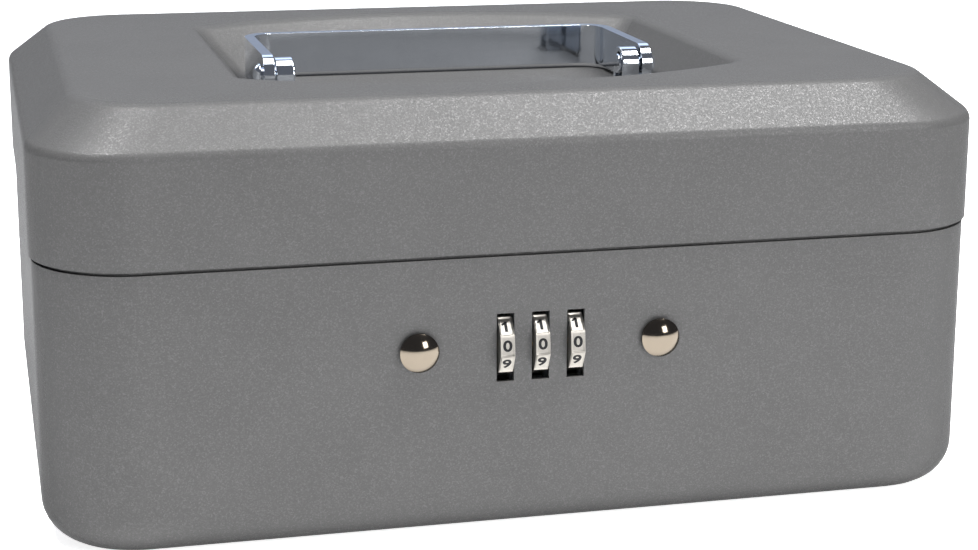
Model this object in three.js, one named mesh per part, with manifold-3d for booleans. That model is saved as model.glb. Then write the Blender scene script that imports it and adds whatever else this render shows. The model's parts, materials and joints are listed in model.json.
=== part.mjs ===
// Steel cash box with a three-dial combination lock, a recessed lid and a drop handle.
// Millimetres. +X to the right along the long side, -Y to the front (lock side), +Z up.
// The origin is the middle of the flat underside.

import * as THREE from 'three';
import { mergeVertices } from 'three/addons/utils/BufferGeometryUtils.js';
import Module from 'manifold-3d';

const wasm = await Module();
wasm.setup();

// ---------------------------------------------------------------- driving dimensions

const GAP = 0.3;                 // running and fitting clearance between separate pieces
const SHEET = 0.8;               // pressed steel of the lid and the base
const ROUND_STEPS = 16;          // facets of a small round piece

const LID = {
  halfX: 100, halfY: 80, corner: 20.8,
  rim: 59.1, chamferFoot: 81.6, top: 90, chamferIn: 9.8, topCorner: 18.5, softness: 2.6,
};

const BASE = {
  halfX: 99.5, halfY: 79.5, corner: 20.3,
  bottomRadius: 8.5, shoulder: 58.3, neckTop: 65.3, floorStart: 10,
};

const RECESS = {
  halfX: 56, halfY: 57, bow: 17, corner: 6, floor: 78.8,
  runX: 9.6, runY: 12, softness: 1.6,
};

const HANDLE = {
  pivotY: -5, pivotZ: 84.7, width: 9.6, thick: 2.4,
  halfWidth: 45.5, reach: 35.9, bendRadius: 7, bore: 2.1,
};

const CLIP = { inner: 38.7, width: 3.9, radius: 4, thick: 1.2, foot: 3.5 };

const HINGE = {
  centre: 52, halfWidth: 16, axisY: 79.9, axisZ: 58.7, barrel: 2.2, bore: 1.3, pin: 1,
  knuckle: 5.3, leaf: 0.8, leafDrop: 18.7, leafRise: 17.3,
};

const DIAL = {
  pitch: 7.35, axisY: -75, axisZ: 39.4, radius: 7, width: 3, facets: 10, bore: 2.4,
  slotWidth: 3.65, slotHeight: 14.2,
};

const SLEEVE = {
  bore: 1.5, hub: 2.1, flange: 3.4, flangeThick: 0.7, flangeOffset: 1.3, gate: 2.6, gateRoot: 2.4,
};

const SHAFT = { radius: 1.2, halfLength: 14.6, head: 1.8 };

const KNOB = { x: 25.2, z: 39.6, radius: 4, proud: 2.6, rim: 0.8, neck: 1.2 };

const SLIDE = {
  travel: 2.2, halfLength: 34, low: 27.5, high: 51, front: -78.3, thick: 1.2,
  windowLeft: -16.2, windowRight: 16, windowLow: 31.4, windowHigh: 48.2,
};

const TAB = {
  lefts: [-24, 18.4], width: 8, front: -76.2, thick: 1.2, low: 44.2,
  notchLow: 45.9, notchHigh: 49.5, notchDeep: 2.8,
};

const FRAME = {
  back: -66.4, thick: 1.2, halfLength: 40, low: 31, high: 48, cheek: 12.4,
  foot: 47, stud: 43.5, studRadius: 1.5, studEnd: -73.5,
};

const COVER = { halfX: 49, front: -78.3, back: -61.4, low: 24, high: 54, sheet: 1, screw: 32 };

const TRAY = {
  halfX: 95.4, front: -58.6, rear: 73.7, low: 34, high: 60, wall: 2, endWall: 4.2,
  rearCorner: 18, frontCorner: 4, scoop: 9, cupShare: 0.52, pocketCorner: 4,
  gripInset: 2.4, gripThick: 2.4, gripHalf: 12, gripRise: 6, gripCorner: 4,
};

const LEDGE = { width: 8, thick: 1.1, drop: 9, front: -52, rear: 52 };

// ---------------------------------------------------------------- solids and booleans

function toManifold(geometry) {
  const bare = geometry.clone();
  bare.deleteAttribute('normal');
  bare.deleteAttribute('uv');
  const merged = mergeVertices(bare, 1e-4);
  return new wasm.Manifold(new wasm.Mesh({
    numProp: 3,
    vertProperties: new Float32Array(merged.attributes.position.array),
    triVerts: new Uint32Array(merged.index.array),
  }));
}

function toGeometry(solid) {
  const mesh = solid.getMesh();
  const geometry = new THREE.BufferGeometry();
  geometry.setAttribute('position', new THREE.BufferAttribute(new Float32Array(mesh.vertProperties), 3));
  geometry.setIndex(new THREE.BufferAttribute(new Uint32Array(mesh.triVerts), 1));
  return geometry;
}

function join(...parts) {
  return toGeometry(parts.map(toManifold).reduce((whole, part) => whole.add(part)));
}

function cut(body, ...tools) {
  return toGeometry(tools.map(toManifold).reduce((whole, tool) => whole.subtract(tool), toManifold(body)));
}

function common(first, second) {
  return toGeometry(toManifold(first).intersect(toManifold(second)));
}

// ---------------------------------------------------------------- simple shapes

// A block between two corners.
function block([x0, x1], [y0, y1], [z0, z1]) {
  const geometry = new THREE.BoxGeometry(x1 - x0, y1 - y0, z1 - z0);
  return geometry.translate((x0 + x1) / 2, (y0 + y1) / 2, (z0 + z1) / 2);
}

// A round bar along X, centred on (y, z).
function barX(radius, [x0, x1], y, z, facets = ROUND_STEPS) {
  const geometry = new THREE.CylinderGeometry(radius, radius, x1 - x0, facets);
  return geometry.rotateZ(-Math.PI / 2).translate((x0 + x1) / 2, y, z);
}

// A round bar along Y, centred on (x, z).
function barY(radius, [y0, y1], x, z, facets = ROUND_STEPS) {
  return new THREE.CylinderGeometry(radius, radius, y1 - y0, facets).translate(x, (y0 + y1) / 2, z);
}

// A turned piece along X from [radius, x] pairs, the first and last on the axis.
function turnedX(profile) {
  const points = profile.map(([radius, x]) => new THREE.Vector2(radius, x));
  return new THREE.LatheGeometry(points, ROUND_STEPS).rotateZ(-Math.PI / 2);
}

// A turned piece along Y from [radius, y] pairs, the first and last on the axis.
function turnedY(profile) {
  const points = profile.map(([radius, y]) => new THREE.Vector2(radius, y));
  return new THREE.LatheGeometry(points, ROUND_STEPS);
}

// A plan outline (x, y) raised along Z between two heights.
function raised(shape, [z0, z1], curveSegments = 8) {
  const geometry = new THREE.ExtrudeGeometry(shape, { depth: z1 - z0, bevelEnabled: false, curveSegments });
  return geometry.translate(0, 0, z0);
}

// A side outline in (y, z) drawn out along X between two places.
function drawnX(shape, [x0, x1], curveSegments = 10) {
  const geometry = new THREE.ExtrudeGeometry(shape, { depth: x1 - x0, bevelEnabled: false, curveSegments });
  const turn = new THREE.Matrix4().makeBasis(
    new THREE.Vector3(0, 1, 0), new THREE.Vector3(0, 0, 1), new THREE.Vector3(1, 0, 0),
  );
  return geometry.applyMatrix4(turn).translate(x0, 0, 0);
}

// A front outline in (x, z) drawn out along Y between two places.
function drawnY(shape, [y0, y1], curveSegments = 10) {
  const geometry = new THREE.ExtrudeGeometry(shape, { depth: y1 - y0, bevelEnabled: false, curveSegments });
  const turn = new THREE.Matrix4().makeBasis(
    new THREE.Vector3(1, 0, 0), new THREE.Vector3(0, 0, 1), new THREE.Vector3(0, -1, 0),
  );
  return geometry.applyMatrix4(turn).translate(0, y1, 0);
}

function roundedRectangle([x0, x1], [y0, y1], lowRadius, highRadius = lowRadius) {
  const shape = new THREE.Shape();
  shape.moveTo(x0 + lowRadius, y0);
  shape.lineTo(x1 - lowRadius, y0);
  shape.absarc(x1 - lowRadius, y0 + lowRadius, lowRadius, -Math.PI / 2, 0);
  shape.lineTo(x1, y1 - highRadius);
  shape.absarc(x1 - highRadius, y1 - highRadius, highRadius, 0, Math.PI / 2);
  shape.lineTo(x0 + highRadius, y1);
  shape.absarc(x0 + highRadius, y1 - highRadius, highRadius, Math.PI / 2, Math.PI);
  shape.lineTo(x0, y0 + lowRadius);
  shape.absarc(x0 + lowRadius, y0 + lowRadius, lowRadius, Math.PI, 1.5 * Math.PI);
  return shape;
}

// ---------------------------------------------------------------- pressed shells

const CORNER_STEPS = 6;
const BOW_STEPS = 4;

// One closed plan outline at height z. Its long sides stand out by `bow` at the middle.
function planRing({ halfX, halfY, corner, bow = 0, z }) {
  const quarter = quarterOutline(halfX, halfY, corner, bow);
  const back = quarter.slice(0, -1).reverse();
  const place = (points, signX, signY) => points.map(([x, y]) => new THREE.Vector3(signX * x, signY * y, z));
  return [
    ...place(quarter, 1, 1), ...place(back, -1, 1),
    ...place(quarter, -1, -1), ...place(back, 1, -1),
  ];
}

// From the end of the short side, round the corner, to the middle of the long side.
function quarterOutline(halfX, halfY, corner, bow) {
  const bowRadius = bow > 0 ? (halfX * halfX + bow * bow) / (2 * bow) : 0;
  const bowCentreY = halfY - bowRadius;
  const arcX = halfX - corner;
  const arcY = bow > 0
    ? bowCentreY + Math.sqrt((bowRadius - corner) ** 2 - arcX ** 2)
    : halfY - corner;
  const endAngle = bow > 0 ? Math.atan2(arcY - bowCentreY, arcX) : Math.PI / 2;
  const points = [];
  for (let step = 0; step <= CORNER_STEPS; step += 1) {
    const angle = endAngle * step / CORNER_STEPS;
    points.push([arcX + corner * Math.cos(angle), arcY + corner * Math.sin(angle)]);
  }
  const [startX, startY] = points.at(-1);
  for (let step = 1; step <= BOW_STEPS; step += 1) {
    const x = startX * (1 - step / BOW_STEPS);
    const y = bow > 0 ? bowCentreY + Math.sqrt(bowRadius ** 2 - x ** 2) : startY;
    points.push([x, y]);
  }
  return points;
}

// Rounds the marked corners of a profile of [inset, z, radius] points.
function softened(profile, steps = 3) {
  return profile.flatMap(([inset, z, radius], index) => {
    if (!radius) return [[inset, z]];
    const here = new THREE.Vector2(inset, z);
    const before = new THREE.Vector2(...profile[index - 1]).sub(here).normalize();
    const after = new THREE.Vector2(...profile[index + 1]).sub(here).normalize();
    const halfTurn = Math.acos(before.dot(after)) / 2;
    const reach = radius / Math.tan(halfTurn);
    const curve = new THREE.QuadraticBezierCurve(
      here.clone().addScaledVector(before, reach), here, here.clone().addScaledVector(after, reach),
    );
    return curve.getPoints(steps).map((point) => [point.x, point.y]);
  });
}

// Joins rings with the same number of points into one closed skin, with a flat cap at each end.
function loft(rings) {
  const count = rings[0].length;
  const positions = rings.flat().flatMap((point) => point.toArray());
  const index = [];
  for (let ring = 0; ring < rings.length - 1; ring += 1) {
    for (let side = 0; side < count; side += 1) {
      const a = ring * count + side;
      const b = ring * count + (side + 1) % count;
      index.push(a, b, b + count, a, b + count, a + count);
    }
  }
  for (const [ring, reverse] of [[0, true], [rings.length - 1, false]]) {
    const centre = positions.length / 3;
    positions.push(0, 0, rings[ring][0].z);
    for (let side = 0; side < count; side += 1) {
      const a = ring * count + side;
      const b = ring * count + (side + 1) % count;
      index.push(...(reverse ? [centre, b, a] : [centre, a, b]));
    }
  }
  const geometry = new THREE.BufferGeometry();
  geometry.setAttribute('position', new THREE.Float32BufferAttribute(positions, 3));
  geometry.setIndex(index);
  return geometry;
}

const lidRing = ([inset, z]) => {
  const part = THREE.MathUtils.clamp(inset / LID.chamferIn, 0, 1);
  const corner = THREE.MathUtils.lerp(LID.corner, LID.topCorner, part);
  return planRing({ halfX: LID.halfX - inset, halfY: LID.halfY - inset, corner, z });
};

const recessRing = ([inset, z]) => {
  const halfX = RECESS.halfX - inset;
  const halfY = RECESS.halfY - inset * RECESS.runY / RECESS.runX;
  return planRing({ halfX, halfY, corner: RECESS.corner, bow: RECESS.bow * halfX / RECESS.halfX, z });
};

const baseRing = ([inset, z]) => planRing({
  halfX: BASE.halfX - inset, halfY: BASE.halfY - inset, corner: BASE.corner - inset, z,
});

function lidShell() {
  const { rim, chamferFoot, top, chamferIn, softness } = LID;
  const slopeShift = SHEET * 0.4;
  const outerSide = softened([
    [0, rim], [0, chamferFoot, softness], [chamferIn, top, softness], [chamferIn + 3, top],
  ]);
  const innerSide = softened([
    [SHEET, rim], [SHEET, chamferFoot - slopeShift, softness - SHEET],
    [chamferIn + slopeShift, top - SHEET, softness - SHEET], [chamferIn + 3, top - SHEET],
  ]);
  const outerWell = softened([
    [-3, top], [0, top, RECESS.softness],
    [RECESS.runX, RECESS.floor, RECESS.softness], [RECESS.runX + 2, RECESS.floor],
  ]);
  const innerWell = softened([
    [-3, top - SHEET], [-slopeShift - SHEET, top - SHEET, RECESS.softness - SHEET],
    [RECESS.runX - slopeShift - SHEET, RECESS.floor - SHEET, RECESS.softness],
    [RECESS.runX + 2, RECESS.floor - SHEET],
  ]);
  const skin = loft([
    ...innerWell.map(recessRing).reverse(), ...innerSide.map(lidRing).reverse(),
    ...outerSide.map(lidRing), ...outerWell.map(recessRing),
  ]);
  return cut(skin, ...hingeNotches([rim - 1, HINGE.axisZ + HINGE.barrel + 0.4]), ...clipSlots());
}

function hingeNotches(heights) {
  const half = HINGE.halfWidth + 1.5;
  return [-1, 1].map((side) => block(
    [side * HINGE.centre - half, side * HINGE.centre + half], [HINGE.axisY - 3, HINGE.axisY + 3], heights,
  ));
}

function clipSlots() {
  const { inner, width, radius, thick } = CLIP;
  const slack = 0.4;
  const slots = [];
  for (const side of [-1, 1]) {
    for (const leg of [-1, 1]) {
      const x = side * (inner + width / 2);
      const y = HANDLE.pivotY + leg * (radius - thick / 2);
      slots.push(block(
        [x - width / 2 - slack, x + width / 2 + slack],
        [y - thick / 2 - slack, y + thick / 2 + slack], [RECESS.floor - 2, RECESS.floor + 1],
      ));
    }
  }
  return slots;
}

function baseShell() {
  const { bottomRadius, shoulder, neckTop, floorStart } = BASE;
  const profile = softened([
    [floorStart, 0], [0, 0, bottomRadius], [0, shoulder], [SHEET, shoulder], [SHEET, neckTop],
    [2 * SHEET, neckTop], [2 * SHEET, shoulder - SHEET], [SHEET, shoulder - SHEET],
    [SHEET, SHEET, bottomRadius - SHEET], [floorStart, SHEET],
  ], 4);
  const skin = loft(profile.map(baseRing));
  const studs = [-1, 1].map((side) => barY(
    FRAME.studRadius, [-BASE.halfY + SHEET / 2, FRAME.studEnd], side * FRAME.stud, KNOB.z,
  ));
  const notches = hingeNotches([HINGE.axisZ - HINGE.barrel - 0.4, neckTop + 1]);
  return cut(join(skin, ...studs), ...dialSlots(), ...knobSlots(), ...notches);
}

function dialSlots() {
  const { pitch, axisZ, slotWidth, slotHeight } = DIAL;
  return [-1, 0, 1].map((place) => block(
    [place * pitch - slotWidth / 2, place * pitch + slotWidth / 2],
    [-BASE.halfY - 1, -BASE.halfY + 2], [axisZ - slotHeight / 2, axisZ + slotHeight / 2],
  ));
}

// Each thumb knob's neck runs in a short slot that the knob always covers.
function knobSlots() {
  const half = KNOB.neck + GAP;
  return [-1, 1].map((side) => {
    const x = side * KNOB.x;
    const outline = roundedRectangle(
      [x - half, x + half + SLIDE.travel], [KNOB.z - half, KNOB.z + half], half * 0.99,
    );
    return drawnY(outline, [-BASE.halfY - 1, -BASE.halfY + 2], 6);
  });
}

// ---------------------------------------------------------------- hinges, one at each end

function hingeBaseLeaf() {
  const { halfWidth, knuckle, barrel, bore, leaf, leafDrop } = HINGE;
  const back = -barrel - 0.1;
  const plate = block([-halfWidth, halfWidth], [back, back + leaf], [-leafDrop, -barrel - 0.4]);
  const knuckles = [-1, 1].flatMap((side) => {
    const span = side < 0 ? [-halfWidth, -knuckle - GAP] : [knuckle + GAP, halfWidth];
    return [barX(barrel, span, 0, 0), block(span, [back, back + leaf], [-barrel - 1, 0])];
  });
  return cut(join(plate, ...knuckles), barX(bore, [-halfWidth - 1, halfWidth + 1], 0, 0));
}

function hingeLidLeaf() {
  const { halfWidth, knuckle, barrel, bore, leaf, leafRise } = HINGE;
  const back = -barrel + 0.4;
  const span = [-knuckle, knuckle];
  const plate = block([-halfWidth, halfWidth], [back, back + leaf], [barrel + 0.4, leafRise]);
  const arm = block(span, [back, back + leaf], [0, barrel + 1]);
  return cut(join(plate, arm, barX(barrel, span, 0, 0)), barX(bore, [-knuckle - 1, knuckle + 1], 0, 0));
}

function hingePin() {
  const { halfWidth, pin } = HINGE;
  const shoulder = halfWidth + GAP;
  const end = shoulder + 0.8;
  return turnedX([
    [0, -end], [pin + 0.6, -end], [pin + 0.9, -shoulder], [pin, -shoulder],
    [pin, shoulder], [pin + 0.9, shoulder], [pin + 0.6, end], [0, end],
  ]);
}

// ---------------------------------------------------------------- drop handle

function handleBail() {
  const { pivotY, pivotZ, width, thick, halfWidth, reach, bendRadius, bore } = HANDLE;
  const frontEnd = pivotY - width / 2;
  const far = pivotY + reach;
  const outer = bailOutline(halfWidth, frontEnd, far, bendRadius);
  const inner = bailOutline(halfWidth - thick, frontEnd - 1, far - thick, bendRadius - thick);
  const heights = [pivotZ - width / 2, pivotZ + width / 2];
  const strip = cut(raised(outer, heights), raised(inner, [heights[0] - 1, heights[1] + 1]));
  const reachAll = [-halfWidth - 1, halfWidth + 1];
  const kept = join(
    barX(width / 2, reachAll, pivotY, pivotZ, 32),
    block(reachAll, [pivotY, far + 1], [heights[0] - 1, heights[1] + 1]),
  );
  return cut(common(strip, kept), barX(bore, reachAll, pivotY, pivotZ));
}

function bailOutline(half, near, far, radius) {
  const shape = new THREE.Shape();
  shape.moveTo(-half, near);
  shape.lineTo(half, near);
  shape.lineTo(half, far - radius);
  shape.absarc(half - radius, far - radius, radius, 0, Math.PI / 2);
  shape.lineTo(radius - half, far);
  shape.absarc(radius - half, far - radius, radius, Math.PI / 2, Math.PI);
  return shape;
}

// The pivot rivet is swaged into the end of the handle and turns in the clip. Drawn for the +X side.
function handleRivet() {
  const outside = HANDLE.halfWidth;
  return turnedX([
    [0, CLIP.inner - 0.5], [2.2, CLIP.inner - 0.5], [2.4, CLIP.inner - 0.2], [2.4, outside - HANDLE.thick - GAP],
    [1.8, outside - HANDLE.thick - GAP], [1.8, outside + GAP], [2.7, outside + GAP],
    [2.6, outside + 0.9], [2.1, outside + 1.6], [1.2, outside + 2], [0, outside + 2.1],
  ]);
}

// A strap bent over the rivet, its two legs through the lid and turned outwards under it.
function handleClip() {
  const { radius, thick, foot, width } = CLIP;
  const footTop = RECESS.floor - SHEET - GAP - HANDLE.pivotZ;
  const footLow = footTop - thick;
  const shape = new THREE.Shape();
  shape.moveTo(radius + foot, footLow);
  shape.lineTo(radius + foot, footTop);
  shape.lineTo(radius, footTop);
  shape.lineTo(radius, 0);
  shape.absarc(0, 0, radius, 0, Math.PI);
  shape.lineTo(-radius, footTop);
  shape.lineTo(-radius - foot, footTop);
  shape.lineTo(-radius - foot, footLow);
  shape.lineTo(thick - radius, footLow);
  shape.lineTo(thick - radius, 0);
  shape.absarc(0, 0, radius - thick, Math.PI, 0, true);
  shape.lineTo(radius - thick, footLow);
  return drawnX(shape, [0, width]);
}

// ---------------------------------------------------------------- lock

// A ten-sided number wheel with one facet square to the front.
function dial() {
  const { radius, width, facets, bore } = DIAL;
  const wheel = barX(radius, [-width / 2, width / 2], 0, 0, facets);
  return cut(wheel, barX(bore, [-width, width], 0, 0));
}

// The sleeve that a wheel sits on. Its flange has one gate, which faces down at the opening code.
function dialSleeve() {
  const { bore, hub, flange, flangeThick, flangeOffset, gate, gateRoot } = SLEEVE;
  const flangeStart = DIAL.width / 2 + flangeOffset;
  const flangeEnd = flangeStart + flangeThick;
  const body = join(
    barX(hub, [-DIAL.width / 2 - GAP, flangeEnd], 0, 0), barX(flange, [flangeStart, flangeEnd], 0, 0, 36),
  );
  return cut(
    body,
    barX(bore, [-DIAL.width, flangeEnd + 1], 0, 0),
    block([flangeStart - 0.1, flangeEnd + 0.1], [-gate / 2, gate / 2], [-flange - 1, -gateRoot]),
  );
}

function dialShaft() {
  const { radius, halfLength, head } = SHAFT;
  const inner = halfLength - 0.7;
  return turnedX([
    [0, -halfLength], [head, -halfLength], [head, -inner], [radius, -inner],
    [radius, inner], [head, inner], [head, halfLength], [0, halfLength],
  ]);
}

// A flat spring with one finger on each wheel.
function detentSpring() {
  const rear = FRAME.back - GAP;
  const front = rear - 0.6;
  const { axisZ, pitch } = DIAL;
  const strip = block([-10.5, 10.5], [front, rear], [axisZ + 4, axisZ + 8]);
  const fingers = [-1, 0, 1].flatMap((place) => {
    const span = [place * pitch - 1.2, place * pitch + 1.2];
    return [
      block(span, [front, rear], [axisZ - 2.5, axisZ + 4.5]),
      barX(0.5, span, front + 0.1, axisZ, 12),
    ];
  });
  return join(strip, ...fingers);
}

// A bent channel that carries the dial shaft and is nutted to two studs on the front wall.
function lockFrame() {
  const { back, thick, halfLength, low, high, cheek, foot, stud } = FRAME;
  const wallFace = -BASE.halfY + SHEET + GAP;
  const rear = back + thick;
  const parts = [block([-halfLength, halfLength], [back, rear], [low, high])];
  const cheekHeights = [DIAL.axisZ - 6.4, DIAL.axisZ + 6.4];
  for (const side of [-1, 1]) {
    const span = (near, far) => (side > 0 ? [near, far] : [-far, -near]);
    parts.push(block(span(cheek, cheek + thick), [wallFace + 1.4, rear - 0.2], cheekHeights));
    parts.push(block(span(halfLength - thick, halfLength), [wallFace, rear - 0.2], [low, high]));
    parts.push(block(span(halfLength - 0.2, foot), [wallFace, wallFace + thick], [low + 2, high - 2]));
  }
  const shaftBore = barX(SLEEVE.bore, [-cheek - 3, cheek + 3], DIAL.axisY, DIAL.axisZ);
  const holes = [-1, 1].flatMap((side) => [
    barY(1.8, [wallFace - 1, wallFace + 3], side * stud, KNOB.z),
    barY(1.8, [back - 1, rear + 1], side * COVER.screw, KNOB.z),
  ]);
  return cut(join(...parts), shaftBore, ...holes);
}

// A pressed steel cover over the whole lock, open towards the front wall.
function lockCover() {
  const { halfX, front, back, low, high, sheet, screw } = COVER;
  const body = block([-halfX, halfX], [front, back], [low, high]);
  const hollow = block([sheet - halfX, halfX - sheet], [front - 1, back - sheet], [low + sheet, high - sheet]);
  const slots = TAB.lefts.map((left) => block(
    [left - 1.5, left + TAB.width + 1.5], [front - 1, TAB.front + 3], [high - 3, high + 1],
  ));
  const holes = [-1, 1].map((side) => barY(1.8, [back - 3, back + 1], side * screw, KNOB.z));
  return cut(body, hollow, ...slots, ...holes);
}

// A pan-head screw along -Y from the cover into the lock frame, its head's seat at y = 0.
function coverScrew() {
  const length = COVER.back - FRAME.back + 2;
  return turnedY([[0, -length], [1.5, -length], [1.5, 0], [3, 0], [2.9, 1], [2, 1.6], [0, 1.8]]);
}

function ringNut(radius, bore, thick, sides) {
  const body = new THREE.CylinderGeometry(radius, radius, thick, sides);
  return cut(body, barY(bore, [-thick, thick], 0, 0));
}

// The thumb knobs' slide. Lugs catch the strike's hooks, and the fence teeth test the three gates.
function lockingSlide() {
  const { halfLength, low, high, front, thick, windowLeft, windowRight, windowLow, windowHigh } = SLIDE;
  const rear = front + thick;
  const plate = block([-halfLength, halfLength], [front, rear], [low, high]);
  const window = block([windowLeft, windowRight], [front - 1, rear + 1], [windowLow, windowHigh]);
  const necks = [-1, 1].map((side) => barY(KNOB.neck + GAP, [front - 1, rear + 1], side * KNOB.x, KNOB.z));
  const lugs = TAB.lefts.map((left) => block(
    [left - 2, left - 0.5], [rear - 0.2, TAB.front + TAB.thick + 0.8], [TAB.notchLow + 0.5, TAB.notchHigh - 0.5],
  ));
  const toothStart = DIAL.width / 2 + GAP;
  const shelf = block([-6.5, 10.5], [rear - 0.2, DIAL.axisY + 1], [windowLow - 1.2, windowLow]);
  const teeth = [-1, 0, 1].map((place) => block(
    [place * DIAL.pitch + toothStart, place * DIAL.pitch + toothStart + 0.7],
    [DIAL.axisY - 1, DIAL.axisY + 1], [windowLow - 0.2, DIAL.axisZ - SLEEVE.gateRoot - GAP],
  ));
  return join(cut(plate, window, ...necks), ...lugs, shelf, ...teeth);
}

// A domed thumb knob with a short straight rim, its neck running back through the wall and the slide.
function knob() {
  const { radius, proud, rim, neck } = KNOB;
  const seat = -GAP;
  const domeHeight = proud - GAP - rim;
  const sphere = (radius ** 2 + domeHeight ** 2) / (2 * domeHeight);
  const dome = [];
  for (let step = 1; step <= 5; step += 1) {
    const r = radius * (1 - step / 5);
    const height = Math.sqrt(sphere ** 2 - r ** 2) - (sphere - domeHeight);
    dome.push([r, seat - rim - height]);
  }
  return turnedY([[0, 5.3], [neck, 5.3], [neck, seat], [radius, seat], [radius, seat - rim], ...dome].reverse());
}

// The strike is welded inside the lid. Two hooks hang from it behind the front wall.
function strikePlate() {
  const { lefts, width, front, thick, low, notchLow, notchHigh, notchDeep } = TAB;
  const wallFace = -LID.halfY + SHEET + GAP;
  const shelfLow = BASE.neckTop + 1.2;
  const plate = block([-27, 27], [wallFace, wallFace + thick], [shelfLow, LID.chamferFoot - 3.6]);
  const shelf = block([-27, 27], [wallFace, front + thick], [shelfLow, shelfLow + thick]);
  const hooks = lefts.map((left) => block([left, left + width], [front, front + thick], [low, shelfLow + 0.5]));
  const notches = lefts.map((left) => block(
    [left - 1, left + notchDeep], [front - 1, front + thick + 1], [notchLow, notchHigh],
  ));
  return cut(join(plate, shelf, ...hooks), ...notches);
}

// ---------------------------------------------------------------- coin tray and its ledges

// Three coin cups in front and two note wells behind, all with scooped ends, and a grip at each end.
function coinTray() {
  const { halfX, front, rear, low, high, rearCorner, frontCorner, wall } = TRAY;
  const outline = roundedRectangle([-halfX, halfX], [front, rear], frontCorner, rearCorner);
  const body = raised(outline, [low, high], 6);
  const split = front + (rear - front) * TRAY.cupShare;
  const pockets = [
    ...pocketRow(3, [front + wall, split - wall / 2], false),
    ...pocketRow(2, [split + wall / 2, rear - wall], true),
  ];
  const grips = [-1, 1].map((side) => {
    const x = side * (halfX - TRAY.gripInset);
    const span = [-TRAY.gripHalf, TRAY.gripHalf];
    const face = roundedRectangle(span, [high - wall, high + TRAY.gripRise], 0.5, TRAY.gripCorner);
    const grip = drawnX(face, [x - TRAY.gripThick / 2, x + TRAY.gripThick / 2], 6);
    return grip.translate(0, (front + split) / 2, 0);
  });
  return join(cut(body, ...pockets), ...grips);
}

function pocketRow(count, depth, isRear) {
  const { halfX, wall, low, high, scoop, rearCorner, pocketCorner } = TRAY;
  const inner = 2 * (halfX - (isRear ? wall : TRAY.endWall));
  const width = (inner - wall * (count - 1)) / count;
  return Array.from({ length: count }, (unused, place) => {
    const left = -inner / 2 + place * (width + wall);
    const span = [left, left + width];
    const section = drawnY(roundedRectangle(span, [low + wall, high + 20], scoop), depth, 5);
    const rearRadius = isRear ? rearCorner - wall : pocketCorner;
    const plan = raised(roundedRectangle(span, depth, pocketCorner, rearRadius), [low, high + 10], 5);
    return common(section, plan);
  });
}

// An angle welded to the side wall. Drawn for the +X side.
function trayLedge() {
  const wallFace = BASE.halfX - SHEET - GAP;
  const top = TRAY.low - GAP;
  const shape = new THREE.Shape();
  shape.moveTo(wallFace, top);
  shape.lineTo(wallFace - LEDGE.width, top);
  shape.lineTo(wallFace - LEDGE.width, top - LEDGE.thick);
  shape.lineTo(wallFace - LEDGE.thick, top - LEDGE.thick);
  shape.lineTo(wallFace - LEDGE.thick, top - LEDGE.drop);
  shape.lineTo(wallFace, top - LEDGE.drop);
  return drawnY(shape, [LEDGE.front, LEDGE.rear]);
}

// ---------------------------------------------------------------- finishes

const FINISH = {
  powderCoat: { color: 0x777775, roughness: 0.42, metalness: 0.6 },
  chrome: { color: 0xd5dae2, roughness: 0.12, metalness: 1 },
  nickel: { color: 0xcfccc6, roughness: 0.15, metalness: 1 },
  zincSteel: { color: 0xa9adb0, roughness: 0.35, metalness: 1 },
  springSteel: { color: 0x8d9299, roughness: 0.3, metalness: 1 },
  brass: { color: 0xc2a25a, roughness: 0.3, metalness: 1 },
  dialPlastic: { color: 0xd9d6d0, roughness: 0.35, metalness: 0.2 },
  trayPlastic: { color: 0x2b2c2f, roughness: 0.55, metalness: 0 },
};

const box = new THREE.Group();

function place(group, name, geometry, finish, position = [0, 0, 0]) {
  const mesh = new THREE.Mesh(geometry, new THREE.MeshStandardMaterial(FINISH[finish]));
  mesh.name = name;
  mesh.position.set(...position);
  group.add(mesh);
  return mesh;
}

const SIDES = [['left', -1], ['right', 1]];
const DIALS = [['left', -1], ['centre', 0], ['right', 1]];

// A copy of a +X piece for the other side, with its faces turned to point outwards again.
function mirroredX(geometry) {
  const copy = geometry.clone().scale(-1, 1, 1);
  const flat = copy.index ? copy.toNonIndexed() : copy;
  const points = flat.attributes.position;
  for (let corner = 0; corner < points.count; corner += 3) {
    const second = new THREE.Vector3().fromBufferAttribute(points, corner + 1);
    const third = new THREE.Vector3().fromBufferAttribute(points, corner + 2);
    points.setXYZ(corner + 1, ...third.toArray());
    points.setXYZ(corner + 2, ...second.toArray());
  }
  return flat;
}

const handed = (geometry, side) => (side < 0 ? mirroredX(geometry) : geometry);

// ---------------------------------------------------------------- base and what is fixed in it

const baseGroup = new THREE.Group();
place(baseGroup, 'base_shell', baseShell(), 'powderCoat');
for (const [name, side] of SIDES) {
  const hingeAt = [side * HINGE.centre, HINGE.axisY, HINGE.axisZ];
  place(baseGroup, `hinge_base_leaf_${name}`, hingeBaseLeaf(), 'zincSteel', hingeAt);
  place(baseGroup, `hinge_pin_${name}`, hingePin(), 'zincSteel', hingeAt);
  place(baseGroup, `tray_ledge_${name}`, handed(trayLedge(), side), 'powderCoat');
}
box.add(baseGroup);

// ---------------------------------------------------------------- lid

const lidGroup = new THREE.Group();
place(lidGroup, 'lid_shell', lidShell(), 'powderCoat');
place(lidGroup, 'strike_plate', strikePlate(), 'zincSteel');
for (const [name, side] of SIDES) {
  const hingeAt = [side * HINGE.centre, HINGE.axisY, HINGE.axisZ];
  place(lidGroup, `hinge_lid_leaf_${name}`, hingeLidLeaf(), 'zincSteel', hingeAt);
  const clipLeft = side > 0 ? CLIP.inner : -CLIP.inner - CLIP.width;
  place(lidGroup, `handle_clip_${name}`, handleClip(), 'chrome', [clipLeft, HANDLE.pivotY, HANDLE.pivotZ]);
}
box.add(lidGroup);

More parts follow.
